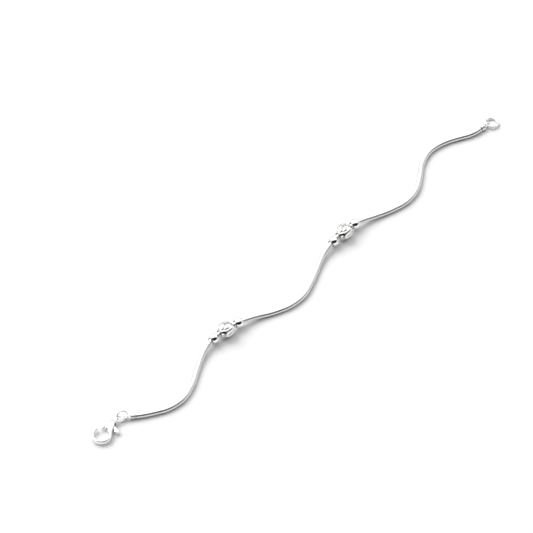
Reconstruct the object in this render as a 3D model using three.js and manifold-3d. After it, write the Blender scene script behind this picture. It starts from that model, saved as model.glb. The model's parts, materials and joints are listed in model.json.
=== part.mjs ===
// Payal anklet: a round snake chain with two groups of three beads. A wound coil holds each end of
// the chain: one carries a plain ring, the other a jump ring with a lobster clasp. The anklet lies
// open on a flat surface. Millimetres, +Z up. The chain runs from the clasp end (-X) to the ring
// end (+X).
import * as THREE from "three";
import { mergeVertices } from "three/addons/utils/BufferGeometryUtils.js";
import Module from "manifold-3d";

const wasm = await Module();
wasm.setup();

// Chain
const chainDiameter = 2.4;
const chainSides = 12;
const chainStep = 3;

// Plan of the chain's centreline, x and y, from the clasp end to the ring end
const chainRoute = [
  [-102.3, 2.6],
  [-99.8, 0.6],
  [-96.6, -1.4],
  [-90.9, -4.6],
  [-83.2, -5.8],
  [-75.7, -3.8],
  [-68.6, -0.2],
  [-61.5, 3.2],
  [-53.9, 5.0],
  [-46.0, 4.3],
  [-38.3, 2.7],
  [-30.9, 0.0],
  [-23.9, -3.6],
  [-16.6, -6.4],
  [-8.7, -6.8],
  [-1.2, -4.6],
  [6.1, -1.6],
  [13.5, 1.2],
  [21.3, 2.2],
  [29.2, 2.1],
  [37.0, 1.1],
  [44.4, -1.4],
  [51.8, -4.1],
  [59.5, -5.9],
  [67.3, -4.9],
  [74.2, -1.3],
  [80.9, 3.0],
  [88.4, 5.1],
  [96.1, 3.9],
  [103.3, 0.6],
  [107.0, -1.5],
  [110.1, -2.7],
  [112.9, -3.2],
];

// The beads lift the chain off the surface over this length on each side
const liftLength = 24;
const endLiftLength = 8;

// Beads: each group is a plain round bead, a pierced oval bead and a plain round bead
const firstGroupAlong = 61.1;
const secondGroupAlong = 138;
const beadGap = 1.45;
const beadBoreClearance = 0.36;
const beadSides = 16;
const beadRings = 8;
const roundBeadDiameter = 4.6;
const roundBeadWall = 0.45;
const ovalBeadDiameter = 6.9;
const ovalBeadLength = 7;
const ovalEndDiameter = 3.6;
const ovalWall = 0.6;
const ovalPanels = 6;
const sidesPerPanel = 6;
const ribHeight = 0.2;
const slotLength = 4;
const slotWidth = 0.5;
const panelHoleDiameter = 0.7;
const ovalTurn = THREE.MathUtils.degToRad(52);

// Holes in a panel: place along the slot's length, place across the panel, size of the hole
const panelHoles = [
  { along: -0.46, across: 0, size: 0.75 },
  { along: -0.22, across: 0.13, size: 0.9 },
  { along: 0, across: -0.1, size: 1 },
  { along: 0.22, across: 0.13, size: 0.9 },
  { along: 0.46, across: 0, size: 0.75 },
];

// Coil ends: a wire wound on the chain's soldered end, and its eye
const endGap = 0.3;
const coilDiameter = 2.8;
const coilWire = 0.8;
const coilWireSides = 6;
const coilCoreSides = 12;
const coilPitch = 0.92;
const coilTurns = 3;
const coilStepsPerTurn = 10;
const eyeHole = 1.7;
const eyeWire = 0.7;

// Soldered wires keep this share of their width outside what they join
const solderShare = 0.6;

// Rings
const endRingDiameter = 6.6;
const endRingWire = 1.0;
const ringSeat = 0.25;
const jumpRingDiameter = 5.1;
const jumpRingWire = 0.7;
const jumpRingLean = THREE.MathUtils.degToRad(60);
const jumpRingTurn = THREE.MathUtils.degToRad(13);
const ringHang = 0.3;
const ringSides = 8;
const ringSegments = 24;
const eyeSegments = 16;

// Lobster clasp: the hook's centre lies hookReach from the eye's centre
const claspHeading = THREE.MathUtils.degToRad(181.5);
const hookReach = 10.6;
const hookDiameter = 8.7;
const armWidth = 1.5;
const armThickness = 2.2;
const armRounding = 0.6;
const armRings = 26;
const armTipRoundness = 0.75;
const armStart = THREE.MathUtils.degToRad(135);
const armTip = THREE.MathUtils.degToRad(-115);
const bodyWidth = 4.6;
const claspThickness = 3.0;
const claspEyeDiameter = 3.5;
const claspEyeHole = 2.2;
const claspEyeThickness = 0.8;
const claspBevel = 0.45;

// Lever of the clasp, with its gate, its knob and the rivet that it turns on
const pivotAlong = 3.7;
const pivotAside = -0.5;
const leverThickness = 1.2;
const leverBevel = 0.25;
const hubDiameter = 2.2;
const gateWidth = 1.1;
const knobReach = 4.3;
const knobDiameter = 1.9;
const knobHeading = THREE.MathUtils.degToRad(70);
const leverSwing = THREE.MathUtils.degToRad(25);
const leverClearance = 0.25;
const tipGap = 0.3;
const rivetDiameter = 1.0;
const rivetClearance = 0.12;
const rivetInset = 0.05;

// Outline of the clasp's body: place along the reach, and its two sides as shares of its width
const bodySections = [
  { along: 0.14, left: -0.24, right: 0.1 },
  { along: 0.22, left: -0.36, right: 0.14 },
  { along: 0.3, left: -0.45, right: 0.2 },
  { along: 0.39, left: -0.54, right: 0.3 },
  { along: 0.48, left: -0.6, right: 0.39 },
  { along: 0.54, left: -0.48, right: 0.45 },
  { along: 0.61, left: -0.25, right: 0.52 },
  { along: 0.69, left: -0.04, right: 0.6 },
  { along: 0.77, left: 0.22, right: 0.73 },
];

const up = new THREE.Vector3(0, 0, 1);
const chainRadius = chainDiameter / 2;
const boreRadius = chainRadius + beadBoreClearance;
const coilRadius = coilDiameter / 2;
const coilLength = coilPitch * coilTurns;
const eyeRingRadius = (eyeHole + eyeWire) / 2;
const eyeOuterRadius = eyeHole / 2 + eyeWire;

// Finishes: colour and roughness of the silver plate
function silver(color, roughness) {
  return new THREE.MeshStandardMaterial({ color, roughness, metalness: 1 });
}

const chainSilver = silver(0xdcdcda, 0.28);
const mirrorSilver = silver(0xf2f2f0, 0.05);
const piercedSilver = silver(0xe6e6e2, 0.12);
const wireSilver = silver(0xe2e2e0, 0.12);
const rivetSilver = silver(0xcfcfcb, 0.2);

// Solids: geometry to solid and back, for joins and cuts
function toSolid(geometry) {
  const bare = geometry.clone();
  bare.deleteAttribute("normal");
  bare.deleteAttribute("uv");
  const merged = mergeVertices(bare);
  return new wasm.Manifold(new wasm.Mesh({
    numProp: 3,
    vertProperties: new Float32Array(merged.attributes.position.array),
    triVerts: new Uint32Array(merged.index.array),
  }));
}

function toGeometry(solid) {
  const mesh = solid.getMesh();
  const geometry = new THREE.BufferGeometry();
  geometry.setAttribute("position", new THREE.BufferAttribute(mesh.vertProperties, 3));
  geometry.setIndex(new THREE.BufferAttribute(mesh.triVerts, 1));
  geometry.computeVertexNormals();
  return geometry;
}

function piece(name, solid, material) {
  const mesh = new THREE.Mesh(toGeometry(solid), material);
  mesh.name = name;
  return mesh;
}

// A round tube along a curve
function tube(curve, radius, sides, steps) {
  const section = new THREE.Shape(new THREE.EllipseCurve(0, 0, radius, radius).getPoints(sides));
  return new THREE.ExtrudeGeometry(section, { steps, extrudePath: curve });
}

// The corners of an outline, without the double ones where two of its curves join
function corners(shape, curveSegments) {
  const points = shape.getPoints(curveSegments);
  return points.filter((point, i) => point.distanceTo(points.at(i - 1)) > 0.001);
}

// A flat plate of an outline, centred on z = 0, with rounded edges if it has a bevel
function plate(shape, thickness, bevel = 0, curveSegments = 16) {
  const geometry = new THREE.ExtrudeGeometry(new THREE.Shape(corners(shape, curveSegments)), {
    depth: thickness - 2 * bevel,
    bevelEnabled: bevel > 0,
    bevelThickness: bevel,
    bevelSize: bevel,
    bevelOffset: -bevel,
    bevelSegments: 2,
  });
  return geometry.translate(0, 0, bevel - thickness / 2);
}

function cylinderZ(radius, height, sides) {
  return new THREE.CylinderGeometry(radius, radius, height, sides).rotateX(Math.PI / 2);
}

// A wave that is 1 at zero and falls to 0 at one
function bump(x) {
  return Math.abs(x) < 1 ? Math.cos(x * Math.PI / 2) ** 2 : 0;
}

// The chain's centreline: its plan is a smooth curve through the route, and its height rises where
// the oval beads hold it up, and a little at the coils, which are thicker than the chain
class ChainLine extends THREE.Curve {
  constructor() {
    super();
    this.plan = new THREE.CatmullRomCurve3(chainRoute.map(([x, y]) => new THREE.Vector3(x, y, 0)));
    this.planLength = this.plan.getLength();
  }

  heightAt(along) {
    const beads = [firstGroupAlong, secondGroupAlong]
      .reduce((sum, place) => sum + bump((along - place) / liftLength), 0);
    const ends = bump(along / endLiftLength) + bump((this.planLength - along) / endLiftLength);
    return chainRadius + beads * (ovalBeadDiameter / 2 - chainRadius) + ends * (coilRadius - chainRadius);
  }

  getPoint(t, target = new THREE.Vector3()) {
    this.plan.getPointAt(t, target);
    target.z = this.heightAt(t * this.planLength);
    return target;
  }
}

const chainLine = new ChainLine();

// Sets an object on a point, with its x axis along a direction and its z axis as upright as it can be
function seat(object, point, direction) {
  const x = direction.clone().normalize();
  const y = up.clone().cross(x).normalize();
  const z = x.clone().cross(y);
  object.matrix.makeBasis(x, y, z).setPosition(point);
  object.matrix.decompose(object.position, object.quaternion, object.scale);
  return object;
}

function seatOnChain(object, along) {
  const t = along / chainLine.planLength;
  return seat(object, chainLine.getPointAt(t), chainLine.getTangentAt(t));
}

function makeChain() {
  const steps = Math.round(chainLine.planLength / chainStep);
  const geometry = tube(chainLine, chainRadius, chainSides, steps);
  return piece("snake_chain", toSolid(geometry), chainSilver);
}

// A bead is a hollow shell of revolution about x: outerAt gives its outer radius at a place along it
function beadShell(halfLength, outerAt, wall, sides) {
  const outer = [];
  const inner = [];
  for (let i = 0; i <= beadRings; i++) {
    const place = -halfLength * Math.cos(i / beadRings * Math.PI);
    outer.push(new THREE.Vector2(Math.max(outerAt(place), boreRadius), place));
    const inside = place * (halfLength - wall) / halfLength;
    inner.push(new THREE.Vector2(Math.max(outerAt(place) - wall, boreRadius), inside));
  }
  const profile = [...outer, ...inner.reverse(), outer[0].clone()];
  return new THREE.LatheGeometry(profile, sides).rotateZ(-Math.PI / 2);
}

const roundHalfLength = Math.sqrt((roundBeadDiameter / 2) ** 2 - boreRadius ** 2);

function makeRoundBead(name) {
  const radius = roundBeadDiameter / 2;
  const outerAt = (place) => Math.sqrt(radius ** 2 - place ** 2);
  const shell = beadShell(roundHalfLength, outerAt, roundBeadWall, beadSides);
  return piece(name, toSolid(shell), mirrorSilver);
}

// Raises a rib on each side of each slot, by moving the shell's outer points out
function raiseRibs(geometry, outerAt) {
  const position = geometry.attributes.position;
  for (let i = 0; i < position.count; i++) {
    const radius = Math.hypot(position.getY(i), position.getZ(i));
    const turn = Math.atan2(position.getY(i), position.getZ(i)) / (2 * Math.PI);
    const column = Math.round(turn * ovalPanels * sidesPerPanel);
    const fromSlot = Math.abs(column - sidesPerPanel * Math.round(column / sidesPerPanel));
    const isOuter = radius > outerAt(position.getX(i)) - ovalWall / 2;
    if (isOuter && fromSlot === 1) {
      const share = 1 + ribHeight / radius;
      position.setY(i, position.getY(i) * share);
      position.setZ(i, position.getZ(i) * share);
    }
  }
  return geometry;
}

function slotShape() {
  const shape = new THREE.Shape();
  shape.moveTo(-slotLength / 2, 0);
  shape.quadraticCurveTo(0, -slotWidth, slotLength / 2, 0);
  shape.quadraticCurveTo(0, slotWidth, -slotLength / 2, 0);
  return shape;
}

function makeOvalBead(name) {
  const radius = ovalBeadDiameter / 2 - ribHeight;
  const half = ovalBeadLength / 2;
  const endRadius = ovalEndDiameter / 2;
  const semiAxis = half / Math.sqrt(1 - (endRadius / radius) ** 2);
  const outerAt = (place) => radius * Math.sqrt(1 - (place / semiAxis) ** 2);
  const shell = beadShell(half, outerAt, ovalWall, ovalPanels * sidesPerPanel);
  let bead = toSolid(raiseRibs(shell, outerAt));
  const depth = 3 * ovalWall;
  const panelWidth = 2 * Math.PI * radius / ovalPanels;
  const slot = toSolid(plate(slotShape(), depth, 0, 3).translate(0, 0, radius));
  const holes = panelHoles.map(({ along, across, size }) => {
    const place = along * slotLength;
    const hole = cylinderZ(size * panelHoleDiameter / 2, depth, 6);
    return toSolid(hole.translate(place, across * panelWidth, outerAt(place) - ovalWall / 2));
  });
  for (let i = 0; i < ovalPanels; i++) {
    const turn = i * 360 / ovalPanels;
    bead = bead.subtract(slot.rotate([turn, 0, 0]));
    for (const hole of holes) {
      bead = bead.subtract(hole.rotate([turn + 180 / ovalPanels, 0, 0]));
    }
  }
  const mesh = piece(name, bead, piercedSilver);
  mesh.geometry.rotateX(ovalTurn);
  return mesh;
}

function makeBeads() {
  const beads = new THREE.Group();
  const spacing = ovalBeadLength / 2 + beadGap + roundHalfLength;
  [firstGroupAlong, secondGroupAlong].forEach((place, group) => {
    beads.add(seatOnChain(makeRoundBead(`round_bead_${2 * group + 1}`), place - spacing));
    beads.add(seatOnChain(makeOvalBead(`oval_bead_${group + 1}`), place));
    beads.add(seatOnChain(makeRoundBead(`round_bead_${2 * group + 2}`), place + spacing));
  });
  return beads;
}

class CoilLine extends THREE.Curve {
  getPoint(t, target = new THREE.Vector3()) {
    const radius = coilRadius - coilWire / 2;
    const turn = 2 * Math.PI * (coilTurns - coilWire / coilPitch) * t;
    const along = coilWire / 2 + (coilLength - coilWire) * t;
    return target.set(along, radius * Math.cos(turn), radius * Math.sin(turn));
  }
}

// A coil runs along +x from the chain, and its eye stands at its far end, turned about x
const eyeAlong = coilLength + eyeOuterRadius - eyeWire * solderShare;

function makeCoilEnd(name, eyeTurn, eyeRise) {
  const winding = tube(new CoilLine(), coilWire / 2, coilWireSides, Math.round(coilTurns * coilStepsPerTurn));
  const coreRadius = coilRadius - coilWire * solderShare;
  const core = new THREE.CylinderGeometry(coreRadius, coreRadius, coilLength, coilCoreSides)
    .rotateZ(-Math.PI / 2)
    .translate(coilLength / 2, 0, 0);
  const eye = new THREE.TorusGeometry(eyeRingRadius, eyeWire / 2, ringSides, eyeSegments)
    .rotateX(eyeTurn)
    .translate(eyeAlong, 0, eyeRise);
  const solid = toSolid(core).add(toSolid(winding)).add(toSolid(eye));
  return piece(name, solid, wireSilver);
}

// The ring end: the eye stands upright, and the ring leans from it down to the surface
function makeRingEnd() {
  const ringEnd = new THREE.Group();
  const outward = chainLine.getTangentAt(1).setZ(0).normalize();
  const coilStart = chainLine.getPointAt(1).addScaledVector(outward, endGap);
  const eyeRise = Math.max(0, eyeOuterRadius - coilStart.z);
  ringEnd.add(seat(makeCoilEnd("coil_end_ring", Math.PI / 2, eyeRise), coilStart, outward));
  const eyeCentre = coilStart.clone().addScaledVector(outward, eyeAlong);
  eyeCentre.z += eyeRise;
  const ringRadius = (endRingDiameter - endRingWire) / 2;
  const wireHeight = Math.max(eyeWire, eyeCentre.z - eyeHole / 2) + ringSeat + endRingWire / 2;
  const lean = Math.asin((wireHeight - endRingWire / 2) / (2 * ringRadius));
  const down = outward.clone().multiplyScalar(Math.cos(lean)).addScaledVector(up, -Math.sin(lean));
  const torus = new THREE.TorusGeometry(ringRadius, endRingWire / 2, ringSides, ringSegments);
  const ring = piece("end_ring", toSolid(torus), wireSilver);
  const wireCentre = eyeCentre.clone().setZ(wireHeight);
  ringEnd.add(seat(ring, wireCentre.addScaledVector(down, ringRadius), down));
  return ringEnd;
}

function roundBar(from, to, width) {
  const angle = Math.atan2(to.y - from.y, to.x - from.x);
  const shape = new THREE.Shape();
  shape.absarc(from.x, from.y, width / 2, angle + Math.PI / 2, angle + 1.5 * Math.PI);
  shape.absarc(to.x, to.y, width / 2, angle - Math.PI / 2, angle + Math.PI / 2);
  return shape;
}

function disc(centre, radius) {
  const shape = new THREE.Shape();
  shape.absarc(centre.x, centre.y, radius, 0, 2 * Math.PI);
  return shape;
}

// In the clasp's own frame the eye's centre is the origin, +x runs to the hook, and z = 0 is the
// middle of its thickness
const hookCentre = new THREE.Vector2(hookReach, 0);
const pivot = new THREE.Vector2(pivotAlong, pivotAside);
const armRadius = (hookDiameter - armWidth) / 2;

function onHook(radius, angle) {
  return hookCentre.clone().add(new THREE.Vector2(Math.cos(angle), Math.sin(angle)).multiplyScalar(radius));
}

// The lever's outline is three plain shapes: the hub, the gate and the knob with its stem. A margin
// makes the room that it needs in the body
function leverSolid(margin) {
  const tip = onHook(armRadius, armTip);
  const toPivot = pivot.clone().sub(tip).normalize();
  const gateEnd = tip.clone().addScaledVector(toPivot, armWidth / 2 + tipGap + gateWidth / 2);
  const knob = new THREE.Vector2(Math.cos(knobHeading), Math.sin(knobHeading))
    .multiplyScalar(knobReach).add(pivot);
  const thickness = leverThickness + 2 * margin;
  const bevel = margin > 0 ? 0 : leverBevel;
  const shapes = [
    disc(pivot, hubDiameter / 2 + margin),
    roundBar(pivot, gateEnd, gateWidth + 2 * margin),
    roundBar(pivot, knob, gateWidth + 2 * margin),
    disc(knob, knobDiameter / 2 + margin),
  ];
  return shapes
    .map((shape) => toSolid(plate(shape, thickness, bevel, margin > 0 ? 4 : 6)))
    .reduce((sum, solid) => sum.add(solid));
}

// The room for the lever at one angle of its swing
function leverRoom(angle) {
  const degrees = THREE.MathUtils.radToDeg(angle);
  return leverSolid(leverClearance)
    .translate([-pivot.x, -pivot.y, 0])
    .rotate([0, 0, degrees])
    .translate([pivot.x, pivot.y, 0]);
}

function rivetBore() {
  return toSolid(cylinderZ(rivetDiameter / 2 + rivetClearance, 2 * claspThickness, 16)
    .translate(pivot.x, pivot.y, 0));
}

// A closed skin over a row of rings, each a list of as many points
function loft(rings) {
  const count = rings[0].length;
  const middleOf = (ring) => ring
    .reduce((sum, point) => sum.add(point), new THREE.Vector3())
    .divideScalar(count);
  const points = [...rings.flat(), middleOf(rings[0]), middleOf(rings.at(-1))];
  const index = [];
  const first = rings.length * count;
  for (let k = 0; k < count; k++) {
    const next = (k + 1) % count;
    for (let i = 0; i < rings.length - 1; i++) {
      const here = i * count;
      const there = here + count;
      index.push(here + k, here + next, there + k, here + next, there + next, there + k);
    }
    const last = first - count;
    index.push(first, next, k, first + 1, last + k, last + next);
  }
  const geometry = new THREE.BufferGeometry().setFromPoints(points);
  geometry.setIndex(index);
  return geometry;
}

// The corners of a rounded rectangle, counted round from its right side
function roundedBox(halfWidth, halfHeight, radius, perCorner = 4) {
  const points = [];
  for (let corner = 0; corner < 4; corner++) {
    const signX = corner === 0 || corner === 3 ? 1 : -1;
    const signY = corner < 2 ? 1 : -1;
    for (let i = 0; i < perCorner; i++) {
      const angle = (corner + i / (perCorner - 1)) * Math.PI / 2;
      points.push(new THREE.Vector2(
        signX * (halfWidth - radius) + radius * Math.cos(angle),
        signY * (halfHeight - radius) + radius * Math.sin(angle),
      ));
    }
  }
  return points;
}

// The body is lofted through its sections, which stand across the reach
function claspBody() {
  const rings = bodySections.map(({ along, left, right }) => {
    const halfWidth = (right - left) / 2 * bodyWidth;
    const middle = (right + left) / 2 * bodyWidth;
    return roundedBox(halfWidth, claspThickness / 2, claspBevel)
      .map((point) => new THREE.Vector3(along * hookReach, middle + point.x, point.y));
  });
  return loft(rings);
}

// The arm goes round the hook's centre from the body to its tip, which is rounded off
function claspArm() {
  const rings = [];
  for (let i = 0; i <= armRings; i++) {
    const angle = armStart + (armTip - armStart) * i / armRings;
    const fromTip = (armStart - armTip) * (1 - i / armRings) * armRadius / (armWidth / 2);
    const full = fromTip < 1 ? Math.sqrt(1 - (1 - fromTip) ** 2 * armTipRoundness) : 1;
    const outward = new THREE.Vector2(Math.cos(angle), Math.sin(angle));
    const centre = onHook(armRadius, angle);
    rings.push(roundedBox(full * armWidth / 2, full * armThickness / 2, full * armRounding, 3)
      .map((point) => new THREE.Vector3(
        centre.x + outward.x * point.x,
        centre.y + outward.y * point.x,
        point.y,
      )));
  }
  return loft(rings);
}

function makeClaspBody() {
  const eyeRim = (claspEyeDiameter - claspEyeHole) / 2;
  const eye = new THREE.TorusGeometry((claspEyeHole + eyeRim) / 2, eyeRim / 2, ringSides, eyeSegments)
    .scale(1, 1, claspEyeThickness / eyeRim);
  let body = toSolid(claspBody()).add(toSolid(claspArm())).add(toSolid(eye));
  const swings = [0, 0.5, 1];
  for (const share of swings) {
    body = body.subtract(leverRoom(share * leverSwing));
  }
  return piece("clasp_body", body.subtract(rivetBore()), mirrorSilver);
}

function makeClasp() {
  const clasp = new THREE.Group();
  clasp.add(makeClaspBody());
  clasp.add(piece("clasp_lever", leverSolid(0).subtract(rivetBore()), wireSilver));
  const rivet = cylinderZ(rivetDiameter / 2, claspThickness - 2 * rivetInset, 16)
    .translate(pivot.x, pivot.y, 0);
  clasp.add(piece("clasp_rivet", toSolid(rivet), rivetSilver));
  return clasp;
}

// The clasp end: the jump ring leans on the surface. It passes through the coil's eye at the height
// of the coil, and through the clasp's eye at half the clasp's thickness
function makeClaspEnd() {
  const claspEnd = new THREE.Group();
  const outward = chainLine.getTangentAt(0).setZ(0).normalize().negate();
  const coilStart = chainLine.getPointAt(0).addScaledVector(outward, endGap);
  const eyeCentre = coilStart.clone().addScaledVector(outward, eyeAlong);
  const ringRadius = (jumpRingDiameter - jumpRingWire) / 2;
  const across = outward.clone().negate().applyAxisAngle(up, jumpRingTurn);
  const back = up.clone().cross(across);
  const rise = back.multiplyScalar(Math.cos(jumpRingLean)).addScaledVector(up, Math.sin(jumpRingLean));
  const centreHeight = jumpRingWire / 2 + ringRadius * Math.sin(jumpRingLean);
  const onRing = (height, sideSign) => {
    const sine = (height - centreHeight) / (ringRadius * Math.sin(jumpRingLean));
    const cosine = sideSign * Math.sqrt(1 - sine ** 2);
    const offset = across.clone().multiplyScalar(cosine * ringRadius).addScaledVector(rise, sine * ringRadius);
    const tangent = across.clone().multiplyScalar(-sine).addScaledVector(rise, cosine);
    return { offset, tangent };
  };
  const atCoil = onRing(eyeCentre.z, 1);
  const centre = eyeCentre.clone().addScaledVector(across, ringHang).sub(atCoil.offset);
  const coilLeft = up.clone().cross(outward);
  const eyeTurn = Math.atan2(-atCoil.tangent.dot(coilLeft), atCoil.tangent.z);
  claspEnd.add(seat(makeCoilEnd("coil_end_clasp", eyeTurn, 0), coilStart, outward));
  const torus = new THREE.TorusGeometry(ringRadius, jumpRingWire / 2, ringSides, ringSegments);
  torus.rotateX(jumpRingLean);
  const ring = piece("jump_ring", toSolid(torus), wireSilver);
  claspEnd.add(seat(ring, centre, across));
  const atClasp = onRing(claspThickness / 2, -1);
  const clasp = seat(makeClasp(), centre.clone().add(atClasp.offset).addScaledVector(across, ringHang),
    new THREE.Vector3(Math.cos(claspHeading), Math.sin(claspHeading), 0));
  claspEnd.add(clasp);
  return claspEnd;
}

// The origin is the middle of the anklet's box, on the surface
const pieces = new THREE.Group();
pieces.add(makeChain(), makeBeads(), makeRingEnd(), makeClaspEnd());
pieces.updateMatrixWorld(true);
const box = new THREE.Box3().setFromObject(pieces, true);
const middle = box.getCenter(new THREE.Vector3());
pieces.position.set(-middle.x, -middle.y, -box.min.z);

const anklet = new THREE.Group();
anklet.add(pieces);

export default anklet;
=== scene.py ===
# %% [markdown]
# # A payal anklet in silver plate
# This notebook dresses an open anklet: a round snake chain, two groups of three beads, a wound
# coil at each end of the chain, a plain ring at one end and a lobster clasp at the other. The
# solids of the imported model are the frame. Every piece below is worked out in millimetres, stands
# where its solid stands, and is turned into metres when its mesh is written.

# %% Load the frame
import json
import math

import bmesh
import bpy
import numpy as np
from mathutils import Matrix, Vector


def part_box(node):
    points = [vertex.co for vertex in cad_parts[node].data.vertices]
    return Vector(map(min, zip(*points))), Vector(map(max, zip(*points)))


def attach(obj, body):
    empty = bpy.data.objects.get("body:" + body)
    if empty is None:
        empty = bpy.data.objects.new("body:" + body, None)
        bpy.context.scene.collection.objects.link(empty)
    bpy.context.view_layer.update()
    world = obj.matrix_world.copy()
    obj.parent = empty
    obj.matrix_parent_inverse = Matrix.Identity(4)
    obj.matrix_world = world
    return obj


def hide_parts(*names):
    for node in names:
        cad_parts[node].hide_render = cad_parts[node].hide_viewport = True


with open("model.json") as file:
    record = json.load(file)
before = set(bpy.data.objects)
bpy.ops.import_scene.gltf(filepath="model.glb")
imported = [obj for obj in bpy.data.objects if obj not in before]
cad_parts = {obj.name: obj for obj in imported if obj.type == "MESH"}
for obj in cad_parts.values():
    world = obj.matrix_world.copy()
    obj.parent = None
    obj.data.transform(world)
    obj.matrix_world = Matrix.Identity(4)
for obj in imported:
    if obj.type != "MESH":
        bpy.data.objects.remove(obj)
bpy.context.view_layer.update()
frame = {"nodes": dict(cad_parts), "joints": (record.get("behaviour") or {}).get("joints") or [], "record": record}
MM = 0.001
UP = np.array([0.0, 0.0, 1.0])
print("nodes in the frame:", len(frame["nodes"]))

# %% [markdown]
# ## Camera
# The photograph looks down at 50 degrees on the anklet, which lies askew across the picture, with
# a long lens from far away. The camera stands at that angle. Its aim is given from the middle of
# the first oval bead, so that it follows the model.

# %% Camera
VIEW_AZIMUTH = math.radians(-48.7)
VIEW_ELEVATION = math.radians(50)
VIEW_DISTANCE = 1500
PHOTO_WIDTH = 533
PIXELS_PER_MM = 2.36
SENSOR_WIDTH = 36
CLIP_END = 100
AIM_FROM_FIRST_OVAL = np.array([39.08, 11.75, 0])


def box_middle(node):
    """The middle of a node's box, in millimetres."""
    low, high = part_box(node)
    return (np.array(low) + np.array(high)) / 2 / MM


def make_camera():
    aim = box_middle("oval_bead_1") + AIM_FROM_FIRST_OVAL
    aim[2] = 0
    level = math.cos(VIEW_ELEVATION)
    back = np.array([
        level * math.sin(VIEW_AZIMUTH),
        -level * math.cos(VIEW_AZIMUTH),
        math.sin(VIEW_ELEVATION),
    ])
    data = bpy.data.cameras.new("camera")
    data.sensor_width = SENSOR_WIDTH
    data.lens = PIXELS_PER_MM * VIEW_DISTANCE / PHOTO_WIDTH * SENSOR_WIDTH
    data.clip_end = CLIP_END
    camera = bpy.data.objects.new("camera", data)
    bpy.context.scene.collection.objects.link(camera)
    camera.location = (aim + back * VIEW_DISTANCE) * MM
    camera.rotation_euler = (math.pi / 2 - VIEW_ELEVATION, 0, VIEW_AZIMUTH)
    bpy.context.scene.camera = camera
    print("camera aims at", aim.round(1), "mm with a lens of", round(data.lens), "mm")


make_camera()

# %% [markdown]
# ## Surfaces
# Every piece here is a grid of points: its rows run along a path and its columns go round it. One
# function joins a grid into faces, whatever the shape, and another writes several of them as one
# mesh. Each point also has a value of painted shade, which the finish of the silver reads: it
# darkens the plate in grooves, holes and cut walls, where shade falls.


# %% Grids of points to meshes
def surface(points, closed=False, recess=0):
    """Joins a grid of points, rows by columns, into faces. Each point is joined to the next in its
    row and in its column. The columns close round, the rows close only if closed is true, and else
    each end gets a flat cap. Faces are turned over if the volume inside comes out negative."""
    rows, columns = points.shape[:2]
    index = np.arange(rows * columns).reshape(rows, columns)
    here = index if closed else index[:-1]
    there = np.roll(index, -1, axis=0) if closed else index[1:]
    quads = np.stack([here, np.roll(here, -1, axis=1), np.roll(there, -1, axis=1), there], axis=-1)
    quads = quads.reshape(-1, 4)
    flat = points.reshape(-1, 3)
    first, second, third, fourth = (flat[quads[:, corner]] for corner in range(4))
    volume = np.sum(first * np.cross(second, third)) + np.sum(first * np.cross(third, fourth))
    faces = quads.tolist()
    if not closed:
        faces += [index[0, ::-1].tolist(), index[-1].tolist()]
        for end, sign in ((0, -1), (-1, 1)):
            cap = points[end]
            fan = np.cross(cap[1:-1] - cap[0], cap[2:] - cap[0])
            volume += sign * np.sum(fan @ cap[0])
    if volume < 0:
        faces = [face[::-1] for face in faces]
    return {"points": flat, "faces": faces, "recess": np.broadcast_to(recess, (rows, columns)).ravel()}


def make_mesh(name, surfaces):
    """One mesh of several surfaces, in metres, smooth, with the painted shade value as an attribute."""
    offsets = np.cumsum([0] + [len(part["points"]) for part in surfaces])
    faces = [[corner + offset for corner in face]
             for part, offset in zip(surfaces, offsets.tolist())
             for face in part["faces"]]
    points = np.concatenate([part["points"] for part in surfaces]) * MM
    mesh = bpy.data.meshes.new(name)
    mesh.from_pydata(points.tolist(), [], faces)
    depth = mesh.attributes.new("recess", "FLOAT", "POINT")
    depth.data.foreach_set("value", np.concatenate([part["recess"] for part in surfaces]))
    mesh.shade_smooth()
    return mesh


def make_piece(name, surfaces, node, material):
    """An object that stands for a node: it rides on the node's body, and the node's solid is hidden."""
    piece = bpy.data.objects.new(name, make_mesh(name, surfaces))
    bpy.context.scene.collection.objects.link(piece)
    piece.data.materials.append(material)
    body = next(body for body, nodes in frame["record"]["behaviour"]["bodies"].items() if node in nodes)
    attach(piece, body)
    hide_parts(node)
    print(name, "has", len(piece.data.polygons), "faces")
    return piece


# %% [markdown]
# ## Paths
# A wire, a coil and a hook are all a section carried along a path. The section is a rounded
# rectangle between a circle and a box, so one formula serves for all of them.


# %% Sections carried along a path
LEAST_FULLNESS = 0.02


def unit(vectors):
    return vectors / np.linalg.norm(vectors, axis=-1, keepdims=True)


def section(count, roundness=2.0):
    """Corners of a superellipse: cosine and sine to the power of two over the roundness, which is
    2 for a circle and grows towards a square."""
    angle = np.linspace(0, 2 * np.pi, count, endpoint=False)
    corners = np.stack([np.cos(angle), np.sin(angle)], axis=-1)
    return np.sign(corners) * np.abs(corners) ** (2 / np.asarray(roundness))


def smooth_curve(points, per_step):
    """A Catmull-Rom curve through points: between two of them it is a cubic whose slopes at its
    ends are half the way between their neighbours. Points may have any number of columns."""
    padded = np.vstack([2 * points[0] - points[1], points, 2 * points[-1] - points[-2]])
    before, first, second, after = padded[:-3], padded[1:-2], padded[2:-1], padded[3:]
    t = np.linspace(0, 1, per_step, endpoint=False)[None, :, None]
    curve = (
        2 * first[:, None]
        + (second - before)[:, None] * t
        + (2 * before - 5 * first + 4 * second - after)[:, None] * t ** 2
        + (3 * first - before - 3 * second + after)[:, None] * t ** 3
    ) / 2
    return np.vstack([curve.reshape(-1, points.shape[1]), points[-1]])


def closed_curve(points, per_step):
    """The same curve through a loop of points, where the first follows the last."""
    loop = smooth_curve(np.vstack([points[-1], points, points[:2]]), per_step)
    return loop[per_step:-per_step - 1]


def lengths_along(path):
    steps = np.linalg.norm(np.diff(path, axis=0), axis=1)
    return np.concatenate([[0], np.cumsum(steps)])


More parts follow.
